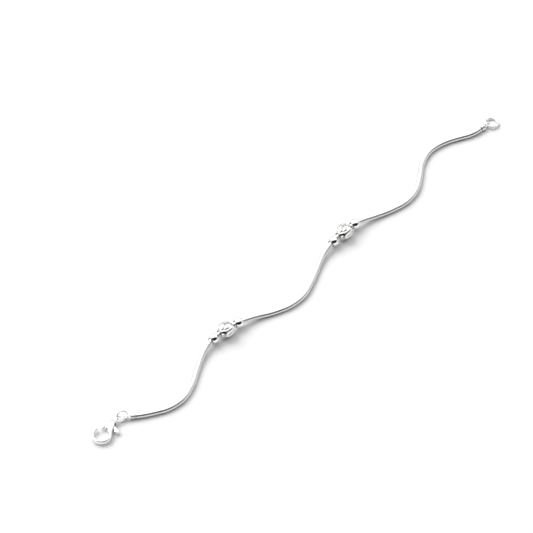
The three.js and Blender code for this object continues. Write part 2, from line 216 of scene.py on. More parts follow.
def sweep(path, aside, half_sizes, corners):
    """Carries a section along a path. A point is the path's point, plus the section's first number
    times the half width along aside, plus its second times the half height across both."""
    tangent = unit(np.gradient(path, axis=0))
    side = unit(aside - np.sum(aside * tangent, axis=1, keepdims=True) * tangent)
    across = np.cross(tangent, side)
    half_sizes = np.broadcast_to(half_sizes, (len(path), 2))
    corners = np.broadcast_to(corners, (len(path),) + corners.shape[-2:])
    wide = corners[:, :, :1] * half_sizes[:, None, :1] * side[:, None]
    high = corners[:, :, 1:] * half_sizes[:, None, 1:] * across[:, None]
    return path[:, None] + wide + high


def rounded_ends(path, first, last=None):
    """How full the section is along a path whose two ends are round: a quarter circle's height over
    the first and the last radius, which are the same if only one is given, and 1 between."""
    along = lengths_along(path)
    left = np.minimum(along / first, (along[-1] - along) / (last or first))
    return np.sqrt(np.clip(1 - np.clip(1 - left, 0, 1) ** 2, LEAST_FULLNESS, 1))[:, None]


def seated(points, origin, direction):
    """Turns points from a piece's own frame to the anklet's: x along the direction, z upright."""
    x = unit(np.asarray(direction, float))
    y = unit(np.cross(UP, x))
    z = np.cross(x, y)
    return origin + points @ np.array([x, y, z])


# %% [markdown]
# ## Finishes
# Silver plate is a mirror: what varies over it is small. A slow noise shifts its tone a little, a
# fine one clouds its gloss, and the painted shade value turns it dark and dull in recesses, where
# shade falls. Sums on shader values are written as Python expressions through one small class.


# %% Shader values
class Wire:
    """A shader output that takes part in sums. Every sum adds its Math node to the same tree."""

    def __init__(self, socket):
        self.socket = socket
        self.tree = socket.id_data

    @staticmethod
    def node(tree, kind, settings, inputs):
        made = tree.nodes.new("ShaderNode" + kind)
        for name, value in settings.items():
            setattr(made, name, value)
        for name, value in inputs.items():
            if isinstance(value, Wire):
                tree.links.new(value.socket, made.inputs[name])
            else:
                made.inputs[name].default_value = value
        return made

    def math(self, operation, first, second):
        made = Wire.node(self.tree, "Math", {"operation": operation}, {0: first, 1: second})
        return Wire(made.outputs[0])

    def __add__(self, other):
        return self.math("ADD", self, other)

    def __radd__(self, other):
        return self.math("ADD", other, self)

    def __sub__(self, other):
        return self.math("SUBTRACT", self, other)

    def __mul__(self, other):
        return self.math("MULTIPLY", self, other)

    def __pow__(self, other):
        return self.math("POWER", self, other)


# %% Silver plate
# Painted shade: the near-black that recesses are mixed towards, standing in for the shade in them
PAINTED_SHADE_COLOUR = (0.045, 0.045, 0.05, 1)
CLOUD_SCALE = 90
GRAIN_SCALE = 2600
GRAIN_DEPTH = 0.000004
GRAIN_STRENGTH = 0.4
CLOUD_TONE = 0.06
RECESS_DULLNESS = 0.25


def silver_plate(name, tone, gloss, cloudiness, shade_depth):
    """Tone is the polished colour and gloss its roughness. Cloudiness is how much the fine noise
    adds to the roughness, and the last argument how far the painted shade in recesses goes
    towards near-black."""
    material = bpy.data.materials.new(name)
    material.use_nodes = True
    tree = material.node_tree
    shader = tree.nodes["Principled BSDF"]
    place = Wire(Wire.node(tree, "TexCoord", {}, {}).outputs["Object"])
    cloud = Wire(Wire.node(tree, "TexNoise", {}, {"Vector": place, "Scale": CLOUD_SCALE}).outputs["Fac"])
    grain = Wire(Wire.node(tree, "TexNoise", {}, {"Vector": place, "Scale": GRAIN_SCALE}).outputs["Fac"])
    recess = Wire(Wire.node(tree, "Attribute", {"attribute_name": "recess"}, {}).outputs["Fac"])
    # Painted shade: recesses are darkened towards near-black, plus a small random tone from the cloud
    dark = recess * shade_depth + (cloud - 0.5) * CLOUD_TONE
    mixed = Wire.node(tree, "Mix", {"data_type": "RGBA"}, {
        "Factor": dark,
        "A": tone + (1,),
        "B": PAINTED_SHADE_COLOUR,
    })
    rough = gloss + grain * cloudiness + recess * RECESS_DULLNESS
    relief = {"Height": grain, "Strength": GRAIN_STRENGTH, "Distance": GRAIN_DEPTH}
    bump = Wire.node(tree, "Bump", {}, relief)
    tree.links.new(mixed.outputs["Result"], shader.inputs["Base Color"])
    tree.links.new(rough.socket, shader.inputs["Roughness"])
    tree.links.new(bump.outputs["Normal"], shader.inputs["Normal"])
    shader.inputs["Metallic"].default_value = 1
    return material


chain_silver = silver_plate("chain_silver", (0.93, 0.93, 0.92), 0.16, 0.08, 0.85)
mirror_silver = silver_plate("mirror_silver", (0.97, 0.97, 0.96), 0.02, 0.03, 1)
pierced_silver = silver_plate("pierced_silver", (0.95, 0.95, 0.94), 0.09, 0.06, 1)
wire_silver = silver_plate("wire_silver", (0.93, 0.93, 0.92), 0.1, 0.05, 0.9)
clasp_silver = silver_plate("clasp_silver", (0.96, 0.96, 0.95), 0.04, 0.04, 1)

# %% [markdown]
# ## The chain's line
# The solid of the chain is a tube of plain sections, each with the same number of corners. The
# chain runs along x without turning back, so its corners sorted by x fall into the sections in
# order, and their middles are the centreline. A smooth curve goes through these.


# %% Centreline of the chain
CHAIN_SIDES = 12
LINE_STEPS = 12
DIRECTION_STEP = 0.1


def corner_points(node):
    """The different corners of a node's solid, a row each, in millimetres."""
    mesh = frame["nodes"][node].data
    flat = np.empty(3 * len(mesh.vertices))
    mesh.vertices.foreach_get("co", flat)
    return np.unique(flat.reshape(-1, 3).round(7), axis=0) / MM


def chain_sections():
    corners = corner_points("snake_chain")
    return corners[np.argsort(corners[:, 0])].reshape(-1, CHAIN_SIDES, 3)


sections = chain_sections()
chain_line = smooth_curve(sections.mean(axis=1), LINE_STEPS)
chain_along = lengths_along(chain_line)
chain_radius = np.linalg.norm(sections[0] - sections[0].mean(axis=0), axis=1).mean()
print("chain", round(chain_along[-1], 1), "mm long,", round(2 * chain_radius, 2), "mm across")


def on_chain(along):
    """Points of the centreline at lengths along it. Beyond its ends the line goes on straight."""
    inside = np.clip(along, 0, chain_along[-1])
    points = np.stack([np.interp(inside, chain_along, chain_line[:, axis]) for axis in range(3)], axis=-1)
    ends = unit(np.array([chain_line[1] - chain_line[0], chain_line[-1] - chain_line[-2]]))
    beyond = (along - inside)[..., None]
    return points + np.where(beyond < 0, ends[0], ends[1]) * beyond


def chain_direction(along):
    return unit(on_chain(along + DIRECTION_STEP) - on_chain(along - DIRECTION_STEP))


def place_on_chain(node):
    """How far along the chain a bead sits: where the line comes closest to the bead's middle."""
    return chain_along[np.argmin(np.linalg.norm(chain_line - box_middle(node), axis=1))]


# %% [markdown]
# ## The snake chain
# A round snake chain is made of wavy rings that nest in each other, each turned a quarter turn
# against the next. From outside they are bands whose edges swing along the chain. The surface is
# worked out directly: the borders between bands are waves round the chain, and between two of them
# a band is slightly crowned and drops into a narrow groove at each border.

# %% Snake chain
LINK_PITCH = 1.13
BAND_WAVE = 0.16
WAVES_ROUND = 2
WAVE_TURN = math.radians(29)
CHAIN_COLUMNS = 24
GROOVE_DEPTH = 0.09
CHAIN_TUCK = 0.25

# Across a band: the place from one border to the next, how deep it lies, and how much painted shade it gets
BAND_PROFILE = np.array([
    (0.0, 1.0, 0.8),
    (0.12, 0.25, 0.2),
    (0.32, 0.04, 0.0),
    (0.68, 0.04, 0.0),
    (0.88, 0.25, 0.2),
])


def make_chain():
    """A point's length along the chain is the mix of two borders, and its distance from the line is
    the radius less the groove's depth. Border k lies at k half pitches, plus or less a cosine of
    twice the angle, whose sign changes from border to border."""
    start, end = -CHAIN_TUCK, chain_along[-1] + CHAIN_TUCK
    bands = 2 * round((end - start) / LINK_PITCH)
    angle = np.linspace(0, 2 * np.pi, CHAIN_COLUMNS, endpoint=False)
    band = np.arange(bands + 1)
    fade = np.minimum(1, np.minimum(band, bands - band))
    wave = fade * np.where(band % 2, -1, 1) * BAND_WAVE
    swing = np.cos(WAVES_ROUND * (angle - WAVE_TURN))
    borders = np.linspace(start, end, bands + 1)[:, None] + wave[:, None] * swing
    share = BAND_PROFILE[:, 0][None, :, None]
    along = (1 - share) * borders[:-1, None] + share * borders[1:, None]
    along = np.vstack([along.reshape(-1, CHAIN_COLUMNS), borders[-1:]])
    depth = np.append(np.tile(BAND_PROFILE[:, 1], bands), 1)[:, None] * GROOVE_DEPTH
    # Painted shade: the grooves between the bands are darkened, as shade falls in them
    shade = np.append(np.tile(BAND_PROFILE[:, 2], bands), BAND_PROFILE[0, 2])[:, None]
    middle = on_chain(along)
    forward = chain_direction(along)
    side = unit(np.cross(UP, forward))
    top = np.cross(forward, side)
    radius = (chain_radius - depth)[..., None]
    points = middle + radius * (np.cos(angle)[:, None] * side + np.sin(angle)[:, None] * top)
    make_piece("snake_chain_links", [surface(points, recess=shade)], "snake_chain", chain_silver)


make_chain()

# %% [markdown]
# ## The plain beads
# A plain bead is a thin shell of revolution, drilled through: its outside is a sphere, and its
# inside follows at the wall's thickness. The profile closes on itself, so the bead has no open
# edge, and the inside is painted dark as shade.

# %% Plain round beads
BEAD_BORE = 1.48
BEAD_WALL = 0.45
BEAD_LIP = 0.08
LIP_SHADES = [0.1, 0.9]
ROUND_BEAD_RADIUS = 2.3
BEAD_COLUMNS = 64
OUTSIDE_ROWS = 40
INSIDE_ROWS = 12


def shell_profile(half_length, outer_at):
    """Place along the bead, radius and painted shade of a closed profile: out along the outer curve,
    round a small lip, and back along the inner one, which is the outer less the wall but never
    under the bore."""
    swing = np.linspace(0, np.pi, OUTSIDE_ROWS)
    outer = -np.cos(swing) * (half_length - BEAD_LIP)
    back = np.linspace(0, np.pi, INSIDE_ROWS)
    inner = np.cos(back) * (half_length - BEAD_LIP)
    lips = np.array([half_length, half_length, -half_length, -half_length])
    edge = np.array([BEAD_BORE + BEAD_LIP, BEAD_BORE])
    outside = np.maximum(outer_at(outer), edge[0])
    inside = np.maximum(outer_at(inner) - BEAD_WALL, BEAD_BORE)
    places = np.concatenate([outer, lips[:2], inner, lips[2:]])
    radius = np.concatenate([outside, edge, inside, edge[::-1]])
    # Painted shade: none outside, rising over the lip to full inside the bore
    shade = np.concatenate([np.zeros(len(outer)), LIP_SHADES, np.ones(len(inner)), LIP_SHADES[::-1]])
    return places, radius, shade


def revolve(places, radius, columns):
    """Turns a profile round x: y is the radius times the sine, z the radius times the cosine. The
    radius may differ from column to column."""
    angle = np.linspace(0, 2 * np.pi, columns, endpoint=False)
    radius = np.broadcast_to(radius, (len(places), columns))
    return np.stack([
        np.broadcast_to(places[:, None], radius.shape),
        -radius * np.sin(angle),
        radius * np.cos(angle),
    ], axis=-1)


def sphere_radius(place):
    return np.sqrt(ROUND_BEAD_RADIUS ** 2 - place ** 2)


def make_round_bead(number):
    node = f"round_bead_{number}"
    places, radius, shade = shell_profile(sphere_radius(BEAD_BORE), sphere_radius)
    points = revolve(places, radius[:, None], BEAD_COLUMNS)
    points = seated(points, box_middle(node), chain_direction(place_on_chain(node)))
    shell = surface(points, True, shade[:, None])
    make_piece(f"mirror_bead_{number}", [shell], node, mirror_silver)


for number in range(1, 5):
    make_round_bead(number)

# %% [markdown]
# ## The pierced beads
# An oval bead is a hollow shell too, with six lens-shaped panels. A raised rim frames each panel, a
# long slot is sawn between two rims, and scrolls are cut through inside the panel. The relief is
# part of the surface's formula. The slots and scrolls are cut out by a Boolean, because their
# edges run across the grid, and the cutters' own faces carry full painted shade, so the cut walls
# are painted dark as shade.

# %% Pierced oval beads
OVAL_RADIUS = 3.45
OVAL_LENGTH = 7.0
OVAL_END_RADIUS = 1.8
OVAL_WALL = 0.6
OVAL_TURN = math.radians(52)
PANELS = 6
PANEL_ANGLE = 2 * math.pi / PANELS
RIM_HEIGHT = 0.18
RIM_WIDTH = 0.24
PANEL_SINK = 0.1
SINK_STEEPNESS = 4
LENS_SHARE = 0.42
LENS_LENGTH = 6.5
OVAL_COLUMNS = 216
SLOT_LENGTH = 4.4
SLOT_WIDTH = 0.5

# Scrolls in a panel: the middle of an arc along and across the panel, its radius, and the two
# angles in degrees between which it is cut
SCROLLS = [
    (-1.8, 0.0, 0.38, 40, 250),
    (-0.68, 0.12, 0.47, 200, 400),
    (0.68, -0.12, 0.47, 20, 220),
    (1.8, 0.0, 0.38, 220, 430),
]
SCROLL_WIDTH = 0.32
SCROLL_TAPER = 0.35
OUTLINE_POINTS = 9
SHARP_EDGE = math.radians(40)


def oval_radius(place):
    """An ellipse of revolution, cut off where its radius is that of the bead's ends."""
    crown = OVAL_RADIUS - RIM_HEIGHT
    long_axis = OVAL_LENGTH / 2 / math.sqrt(1 - (OVAL_END_RADIUS / crown) ** 2)
    return crown * np.sqrt(1 - (place / long_axis) ** 2)


def oval_relief(place, angle):
    """Rims stand up as bell curves round the edge of each lens, which narrows with the square of
    the place along the bead. A rim's width inside the edge, the panel sinks a little."""
    off_middle = np.abs((angle / PANEL_ANGLE) % 1 - 0.5) * PANEL_ANGLE
    edge = LENS_SHARE * PANEL_ANGLE * (1 - (2 * place / LENS_LENGTH) ** 2)
    outside = (off_middle - edge) * OVAL_RADIUS
    rim = RIM_HEIGHT * np.exp(-(outside / RIM_WIDTH) ** 2)
    sink = PANEL_SINK / (1 + np.exp(SINK_STEEPNESS * (outside / RIM_WIDTH + 1)))
    return rim - sink


def prism(outline, angle, low, high):
    """A closed plate of an outline in the panel's plane, between two heights over the bead's axis,
    turned about the axis. The two ends of each edge are a row each."""
    columns = [np.column_stack([outline, np.full(len(outline), height)]) for height in (low, high)]
    points = np.stack(columns)
    turn = np.array([
        [1, 0, 0],
        [0, math.cos(angle), math.sin(angle)],
        [0, -math.sin(angle), math.cos(angle)],
    ])
    # Painted shade: the cutter's faces carry full shade, which the cut walls take over
    return surface(points @ turn, recess=1)


def slot_outline():
    """Two parabolas that meet in points, like a sawn slot that widens in its middle."""
    share = np.linspace(-1, 1, OUTLINE_POINTS)
    bow = (1 - share ** 2) * SLOT_WIDTH / 2
    there = np.column_stack([share, bow])[:-1]
    return np.vstack([there, -there]) * [SLOT_LENGTH / 2, 1]


def scroll_outline(along, across, radius, start, end):
    """A band that follows an arc and narrows towards its two ends."""
    angle = np.radians(np.linspace(start, end, OUTLINE_POINTS))
    fullness = np.sin(np.linspace(0, np.pi, OUTLINE_POINTS))
    width = SCROLL_WIDTH / 2 * (SCROLL_TAPER + (1 - SCROLL_TAPER) * fullness)
    outer, inner = radius + width, radius - width
    ring = [np.column_stack([np.cos(angle), np.sin(angle)]) * size[:, None] for size in (outer, inner)]
    return np.vstack([ring[0], ring[1][::-1]]) + [along, across]


def bead_cutters():
    low, high = OVAL_RADIUS - 2 * OVAL_WALL, OVAL_RADIUS + OVAL_WALL
    cutters = []
    for panel in range(PANELS):
        angle = OVAL_TURN + panel * PANEL_ANGLE
        cutters.append(prism(slot_outline(), angle, low, high))
        for scroll in SCROLLS:
            cutters.append(prism(scroll_outline(*scroll), angle + PANEL_ANGLE / 2, low, high))
    return cutters


def cut(piece, cutters):
    """Takes the cutters out of a piece, and marks the new edges as sharp."""
    tool = bpy.data.objects.new("cutter", make_mesh("cutter", cutters))
    tool.data.transform(piece.matrix_world)
    bpy.context.scene.collection.objects.link(tool)
    modifier = piece.modifiers.new("cut", "BOOLEAN")
    modifier.operation = "DIFFERENCE"
    modifier.solver = "EXACT"
    modifier.object = tool
    bpy.context.view_layer.update()
    graph = bpy.context.evaluated_depsgraph_get()
    shape = bpy.data.meshes.new_from_object(piece.evaluated_get(graph))
    piece.modifiers.clear()
    piece.data = shape
    bpy.data.objects.remove(tool)
    shape.set_sharp_from_angle(angle=SHARP_EDGE)
    print(piece.name, "has", len(shape.polygons), "faces after its cuts")


def make_oval_bead(number):
    node = f"oval_bead_{number}"
    places, radius, shade = shell_profile(OVAL_LENGTH / 2, oval_radius)
    angle = np.linspace(0, 2 * np.pi, OVAL_COLUMNS, endpoint=False)
    outside = np.arange(len(places)) < OUTSIDE_ROWS
    relief = np.where(outside[:, None], oval_relief(places[:, None], angle - OVAL_TURN), 0)
    points = revolve(places, radius[:, None] + relief, OVAL_COLUMNS)
    seat = (box_middle(node), chain_direction(place_on_chain(node)))
    shell = surface(seated(points, *seat), True, shade[:, None])
    piece = make_piece(f"pierced_bead_{number}", [shell], node, pierced_silver)
    cutters = bead_cutters()
    for cutter in cutters:
        cutter["points"] = seated(cutter["points"], *seat)
    cut(piece, cutters)


for number in (1, 2):
    make_oval_bead(number)

# %% [markdown]
# ## Rings
# A ring is a wire carried round a circle. Its middle, its lean and its wire are measured on its
# solid: the middle is the mean of the corners, and the direction in which they spread least is the
# ring's axis. The jump ring was bent shut, so it keeps a hairline gap; the end ring is soldered.

# %% Rings
RING_ROWS = 96
WIRE_COLUMNS = 24
JUMP_RING_GAP = 0.05


def measure_ring(node):
    """Middle, axis, radius of the wire's middle line and radius of the wire."""
    corners = corner_points(node)
    middle = corners.mean(axis=0)
    axis = np.linalg.svd(corners - middle)[2][2]
    wire = np.abs((corners - middle) @ axis).max()
    outer = np.linalg.norm(corners - middle, axis=1).max()
    return middle, axis * np.sign(axis[2]), outer - wire, wire


def wire_ring(middle, axis, radius, wire, gap=0, gap_towards=None):
    """A torus. With a gap it starts and ends half the gap off the direction that it is given."""
    x = unit(np.cross(axis, np.cross(UP if gap_towards is None else gap_towards, axis)))
    y = np.cross(axis, x)
    missing = gap / radius
    angle = np.linspace(missing / 2, 2 * np.pi - missing / 2, RING_ROWS, endpoint=gap > 0)
    spoke = np.cos(angle)[:, None] * x + np.sin(angle)[:, None] * y
    corners = section(WIRE_COLUMNS)
    side = corners[:, 0][None, :, None] * spoke[:, None]
    rise = corners[:, 1][None, :, None] * axis
    return surface(middle + (radius * spoke)[:, None] + wire * (side + rise), closed=gap == 0)


def make_rings():
    make_piece("plain_end_ring", [wire_ring(*measure_ring("end_ring"))], "end_ring", wire_silver)
    ring = measure_ring("jump_ring")
    split = wire_ring(*ring, gap=JUMP_RING_GAP, gap_towards=UP)
    make_piece("split_jump_ring", [split], "jump_ring", wire_silver)


make_rings()

# %% [markdown]
# ## Coil ends
# The chain's soldered end sits in a close coil of wire, and the wire ends in an eye. The coil is a
# tube along a helix, the eye a ring of thinner wire that stands on the coil's axis, and a short
# stem leads from one to the other. A plain core fills the coil, painted darker as the shade inside it.

# %% Coil ends
COIL_GAP = 0.3
COIL_RADIUS = 1.4
COIL_WIRE = 0.44
COIL_PITCH = 0.92
COIL_TURNS = 3
ROWS_PER_TURN = 30
EYE_HOLE = 1.7
EYE_WIRE = 0.35
SOLDER_SHARE = 0.6
CORE_ROWS = 24
CORE_SHADE = 0.35
STEM_STEPS = 8


def coil_winding():
    """A helix: cosine and sine of the turn round x, which moves on by the pitch each turn."""
    turns = COIL_TURNS - 2 * COIL_WIRE / COIL_PITCH
    share = np.linspace(0, 1, round(turns * ROWS_PER_TURN))
    angle = 2 * np.pi * turns * share
    spoke = np.stack([np.zeros_like(angle), np.cos(angle), np.sin(angle)], axis=-1)
    along = COIL_WIRE + (COIL_PITCH * COIL_TURNS - 2 * COIL_WIRE) * share
    path = spoke * (COIL_RADIUS - COIL_WIRE)
    path[:, 0] = along
    full = rounded_ends(path, COIL_WIRE)
    return sweep(path, spoke, COIL_WIRE * full * [1, 1], section(WIRE_COLUMNS)), path


def coil_core():
    length = COIL_PITCH * COIL_TURNS
    radius = COIL_RADIUS - 2 * COIL_WIRE * SOLDER_SHARE
    path = np.linspace([COIL_WIRE / 2, 0, 0], [length - COIL_WIRE, 0, 0], CORE_ROWS)
    full = rounded_ends(path, COIL_WIRE)
    return sweep(path, np.array([[0, 0, 1.0]]), radius * full * [1, 1], section(WIRE_COLUMNS))


def make_coil_end(name, node, ring_node, at_start):
    """The coil begins a gap beyond the chain's end and runs on level. The eye's plane holds the
    coil's axis and is square to the ring's wire where that passes through."""
    along = np.array(0.0 if at_start else chain_along[-1])
    outward = chain_direction(along) * (-1 if at_start else 1)
    outward = unit(outward * [1, 1, 0])
    start = on_chain(along) + outward * COIL_GAP
    eye_outer = EYE_HOLE / 2 + 2 * EYE_WIRE
    eye_along = COIL_PITCH * COIL_TURNS + eye_outer - 2 * EYE_WIRE * SOLDER_SHARE
    eye = start + outward * eye_along
    middle, axis = measure_ring(ring_node)[:2]
    spoke = eye - middle
    spoke = unit(spoke - (spoke @ axis) * axis)
    ring_tangent = np.cross(axis, spoke)
    eye_axis = unit(ring_tangent - (ring_tangent @ outward) * outward)
    if not at_start:
        eye = eye + UP * max(0, eye_outer - eye[2])
    winding, path = coil_winding()
    last = seated(path[-1:], start, outward)[0]
    base = eye - outward * (EYE_HOLE / 2 + EYE_WIRE)
    stops = np.array([last, last + outward * COIL_WIRE, base, base + outward * EYE_WIRE])
    stem = sweep(smooth_curve(stops, STEM_STEPS), UP[None], EYE_WIRE, section(WIRE_COLUMNS))
    parts = [
        surface(seated(winding, start, outward)),
        # Painted shade: the core inside the coil is darkened as shade
        surface(seated(coil_core(), start, outward), recess=CORE_SHADE),
        surface(stem),
        wire_ring(eye, eye_axis, EYE_HOLE / 2 + EYE_WIRE, EYE_WIRE),
    ]
    make_piece(name, parts, node, wire_silver)


make_coil_end("wound_end_by_clasp", "coil_end_clasp", "jump_ring", True)
make_coil_end("wound_end_by_ring", "coil_end_ring", "end_ring", False)

# %% [markdown]
# ## The lobster clasp
# The clasp is a smooth casting: an eye, a body that swells over the lever's pivot, and an arm that
# leaves the body and bends round into a hook. Body and arm are one surface, a rounded section
# carried along the middle line, whose stations say how wide, how thick and how round it is there.
# The clasp's own frame has its origin in the eye, x towards the hook and z = 0 at half thickness.

# %% Frame of the clasp
CLASP_HEADING = math.radians(181.5)
CLASP_THICKNESS = 3.0
PIVOT_ALONG = 3.7
PIVOT_ASIDE = -0.5
HOOK_REACH = 10.6
ARM_RADIUS = 3.6
ARM_WIDTH = 1.5
ARM_THICKNESS = 2.2
ARM_START = 134
ARM_TIP = -115

pivot = np.array([PIVOT_ALONG, PIVOT_ASIDE, 0])
hook = np.array([HOOK_REACH, 0, 0])
heading = np.array([math.cos(CLASP_HEADING), math.sin(CLASP_HEADING), 0])
pivot_place = np.array(frame["joints"][0]["pos_m"]) / MM
clasp_origin = pivot_place - seated(pivot, np.zeros(3), heading)
clasp_origin[2] = CLASP_THICKNESS / 2


def in_clasp(points):
    return seated(points, clasp_origin, heading)


def bearing(degrees):
    """The unit vector, or row of vectors, at an angle in the clasp's plane."""
    angle = np.radians(np.asarray(degrees, float))
    return np.stack([np.cos(angle), np.sin(angle), np.zeros_like(angle)], axis=-1)


print("clasp's eye at", clasp_origin.round(2), "mm")

# %% Body and hook of the clasp
# Stations of the body: x, y of the middle line, bearing of its side, half width, half thickness
# and roundness of the section
BODY_STATIONS = [
    (1.15, -0.05, 90, 0.5, 0.38, 2.2),
    (1.7, -0.3, 90, 0.82, 0.7, 2.3),
    (2.4, -0.5, 90, 1.2, 1.15, 2.6),
    (3.3, -0.6, 90, 1.58, 1.46, 2.9),
    (4.2, -0.6, 93, 1.98, 1.5, 3.0),
    (4.95, -0.42, 99, 2.15, 1.5, 3.0),
    (5.85, 0.3, 108, 1.6, 1.45, 2.8),
    (6.7, 1.15, 116, 1.18, 1.35, 2.5),
    (7.4, 1.9, 125, 0.92, 1.22, 2.4),
]
CASTING_COLUMNS = 48
STATION_STEPS = 8
ARM_STATIONS = 12
ARM_ROUNDNESS = 2.3
TIP_SLIMNESS = 0.8
BODY_END_ROUNDING = 0.3


def casting_stations():
    """The body's stations, followed by the arm's: at each angle round the hook the middle line lies
    an arm's radius from the hook's centre, and its side points outwards. The arm slims to its tip."""
    angle = np.linspace(ARM_START, ARM_TIP, ARM_STATIONS)
    middle = hook + ARM_RADIUS * bearing(angle)
    slim = np.linspace(1, TIP_SLIMNESS, ARM_STATIONS)
    arm = np.column_stack([
        middle[:, :2],
        bearing(angle)[:, :2],
        ARM_WIDTH / 2 * slim,
        ARM_THICKNESS / 2 * slim,
        np.full(ARM_STATIONS, ARM_ROUNDNESS),
    ])
    table = np.array(BODY_STATIONS)
    body = np.column_stack([table[:, :2], bearing(table[:, 2])[:, :2], table[:, 3:]])
    return smooth_curve(np.vstack([body, arm]), STATION_STEPS)


def casting():
    """A point is the middle line's, plus a number of the section times the half width along the
    side, plus another times the half thickness upwards."""
    stations = casting_stations()
    path = np.column_stack([stations[:, :2], np.zeros(len(stations))])
    side = unit(np.column_stack([stations[:, 2:4], np.zeros(len(stations))]))
    full = rounded_ends(path, BODY_END_ROUNDING, ARM_WIDTH / 2)
    corners = section(CASTING_COLUMNS, stations[:, 6, None, None])
    wide = corners[:, :, :1] * (stations[:, 4:5] * full)[:, None] * side[:, None]
    high = corners[:, :, 1:] * (stations[:, 5:6] * full)[:, None] * UP
    return path[:, None] + wide + high


# %% [markdown]
# The lever turns on its rivet inside the body, so the body has room for it through its whole
# swing. The room is three plain plates: a disc round the pivot, and one sector each for the gate
# and for the knob, a little wider than these and reaching a little further. The plates differ a
# hair in height, so that no two of their faces lie in one plane.

# %% Room for the lever
LEVER_HALF = 0.6
LEVER_CLEARANCE = 0.25
THUMB_CLEARANCE = 0.15
LEVER_SWING = frame["joints"][0]["range_deg"][1]
HUB_RADIUS = 1.1
GATE_HALF = 0.55
TIP_GAP = 0.3
KNOB_REACH = 4.3
KNOB_RADIUS = 0.95
KNOB_HEADING = 70
KNOB_NECK = 0.5
EYE_HOLE_RADIUS = 1.1
EYE_OUTER_RADIUS = 1.75
EYE_HALF_THICKNESS = 0.4
BORE_RADIUS = 0.58
BORE_SIDES = 32
HUB_SIDES = 48
SECTOR_STEPS = 9
ROOM_SHADE = 0.5
ROOM_STEP = 0.01

tip = hook + ARM_RADIUS * bearing(ARM_TIP)
gate_end = tip + (ARM_WIDTH / 2 + TIP_GAP + GATE_HALF) * unit(pivot - tip)
gate_heading = math.degrees(math.atan2(*(gate_end - pivot)[1::-1]))


def level_plate(outline, half_height):
    points = np.stack([outline - UP * half_height, outline + UP * half_height])
    # Painted shade: the walls cut by these plates, the lever's room and the rivet's bores, are darkened
    return surface(in_clasp(points), recess=ROOM_SHADE)


def sector(first, last, reach, half_width):
    """A sector from one bearing to another, widened by the half width on both sides."""
    angle = np.linspace(first, last, SECTOR_STEPS)
    wide = math.degrees(half_width / reach)
    arc = pivot + reach * bearing(np.concatenate([[first - wide], angle, [last + wide]]))
    back = [pivot + half_width * bearing(last + 90), pivot + half_width * bearing(first - 90)]
    return np.vstack([arc, back])


def disc(radius, sides):
    return pivot + radius * bearing(np.linspace(0, 360, sides, endpoint=False))


def rivet_bore():
    return level_plate(disc(BORE_RADIUS, BORE_SIDES), CLASP_THICKNESS)


def lever_room():
    hub = disc(HUB_RADIUS + LEVER_CLEARANCE, HUB_SIDES)
    reach = np.linalg.norm(gate_end - pivot) + GATE_HALF + LEVER_CLEARANCE
    gate = sector(gate_heading, gate_heading + LEVER_SWING, reach, GATE_HALF + LEVER_CLEARANCE)
    reach = KNOB_REACH + KNOB_RADIUS + LEVER_CLEARANCE
    thumb = sector(KNOB_HEADING, KNOB_HEADING + LEVER_SWING, reach, KNOB_RADIUS + THUMB_CLEARANCE)
    heights = LEVER_HALF + LEVER_CLEARANCE + ROOM_STEP * np.arange(3)
    return [level_plate(outline, height) for outline, height in zip((hub, gate, thumb), heights)]


def clasp_eye():
    """A ring round the clasp's origin. Its section is an ellipse, a little taller than wide."""
    radius = (EYE_HOLE_RADIUS + EYE_OUTER_RADIUS) / 2
    spoke = bearing(np.linspace(0, 360, RING_ROWS, endpoint=False))
    corners = section(WIRE_COLUMNS)
    rim = (EYE_OUTER_RADIUS - EYE_HOLE_RADIUS) / 2
    side = corners[:, :1] * rim * spoke[:, None]
    return (radius * spoke)[:, None] + side + corners[:, 1:] * EYE_HALF_THICKNESS * UP


def make_clasp_body():
    piece = make_piece("clasp_casting", [surface(in_clasp(casting()))], "clasp_body", clasp_silver)
    for cutter in (*lever_room(), rivet_bore()):
        cut(piece, [cutter])
    eye = make_mesh("clasp_eye", [surface(in_clasp(clasp_eye()), True)])
    whole = bmesh.new()
    whole.from_mesh(piece.data)
    whole.from_mesh(eye)
    whole.to_mesh(piece.data)
    whole.free()
    bpy.data.meshes.remove(eye)
    print("with its eye it has", len(piece.data.polygons), "faces")


make_clasp_body()

# %% [markdown]
# ## The lever and its rivet
# The lever is one bar: a gate that closes the hook, a round hub on the rivet, and a drop-shaped
# knob for the thumb. Its middle line goes from the gate's end over the pivot to the knob, and
# stations give its half width there.

# %% Lever and rivet
RIVET_RADIUS = 0.56
RIVET_HALF = 1.49
RIVET_ROWS = 32
RIVET_ROUNDING = 0.03
LEVER_EDGE = 0.25
EDGE_ROWS = 7
HUB_SPREAD = 35


def plate(outline, half_height, edge):
    """A flat plate with rounded edges. The rows follow the edge from the underside to the top: on
    the way each row moves in from the outline by the edge radius less its sine."""
    forward = unit(np.roll(outline, -1, axis=0) - np.roll(outline, 1, axis=0))
    outward = np.cross(forward, UP)
    turn = np.linspace(-np.pi / 2, np.pi / 2, EDGE_ROWS)[:, None, None]
    inset = edge * (1 - np.cos(turn))
    rise = np.sign(turn) * (half_height - edge) + edge * np.sin(turn)
    return outline - inset * outward + rise * UP


def bar_side(heading_degrees, stations, sign):
    """Points beside a bar that starts in the pivot: each station is a length and a half width."""
    lengths, halves = np.array(stations).T[:, :, None]
    return pivot + lengths * bearing(heading_degrees) + sign * halves * bearing(heading_degrees + 90)


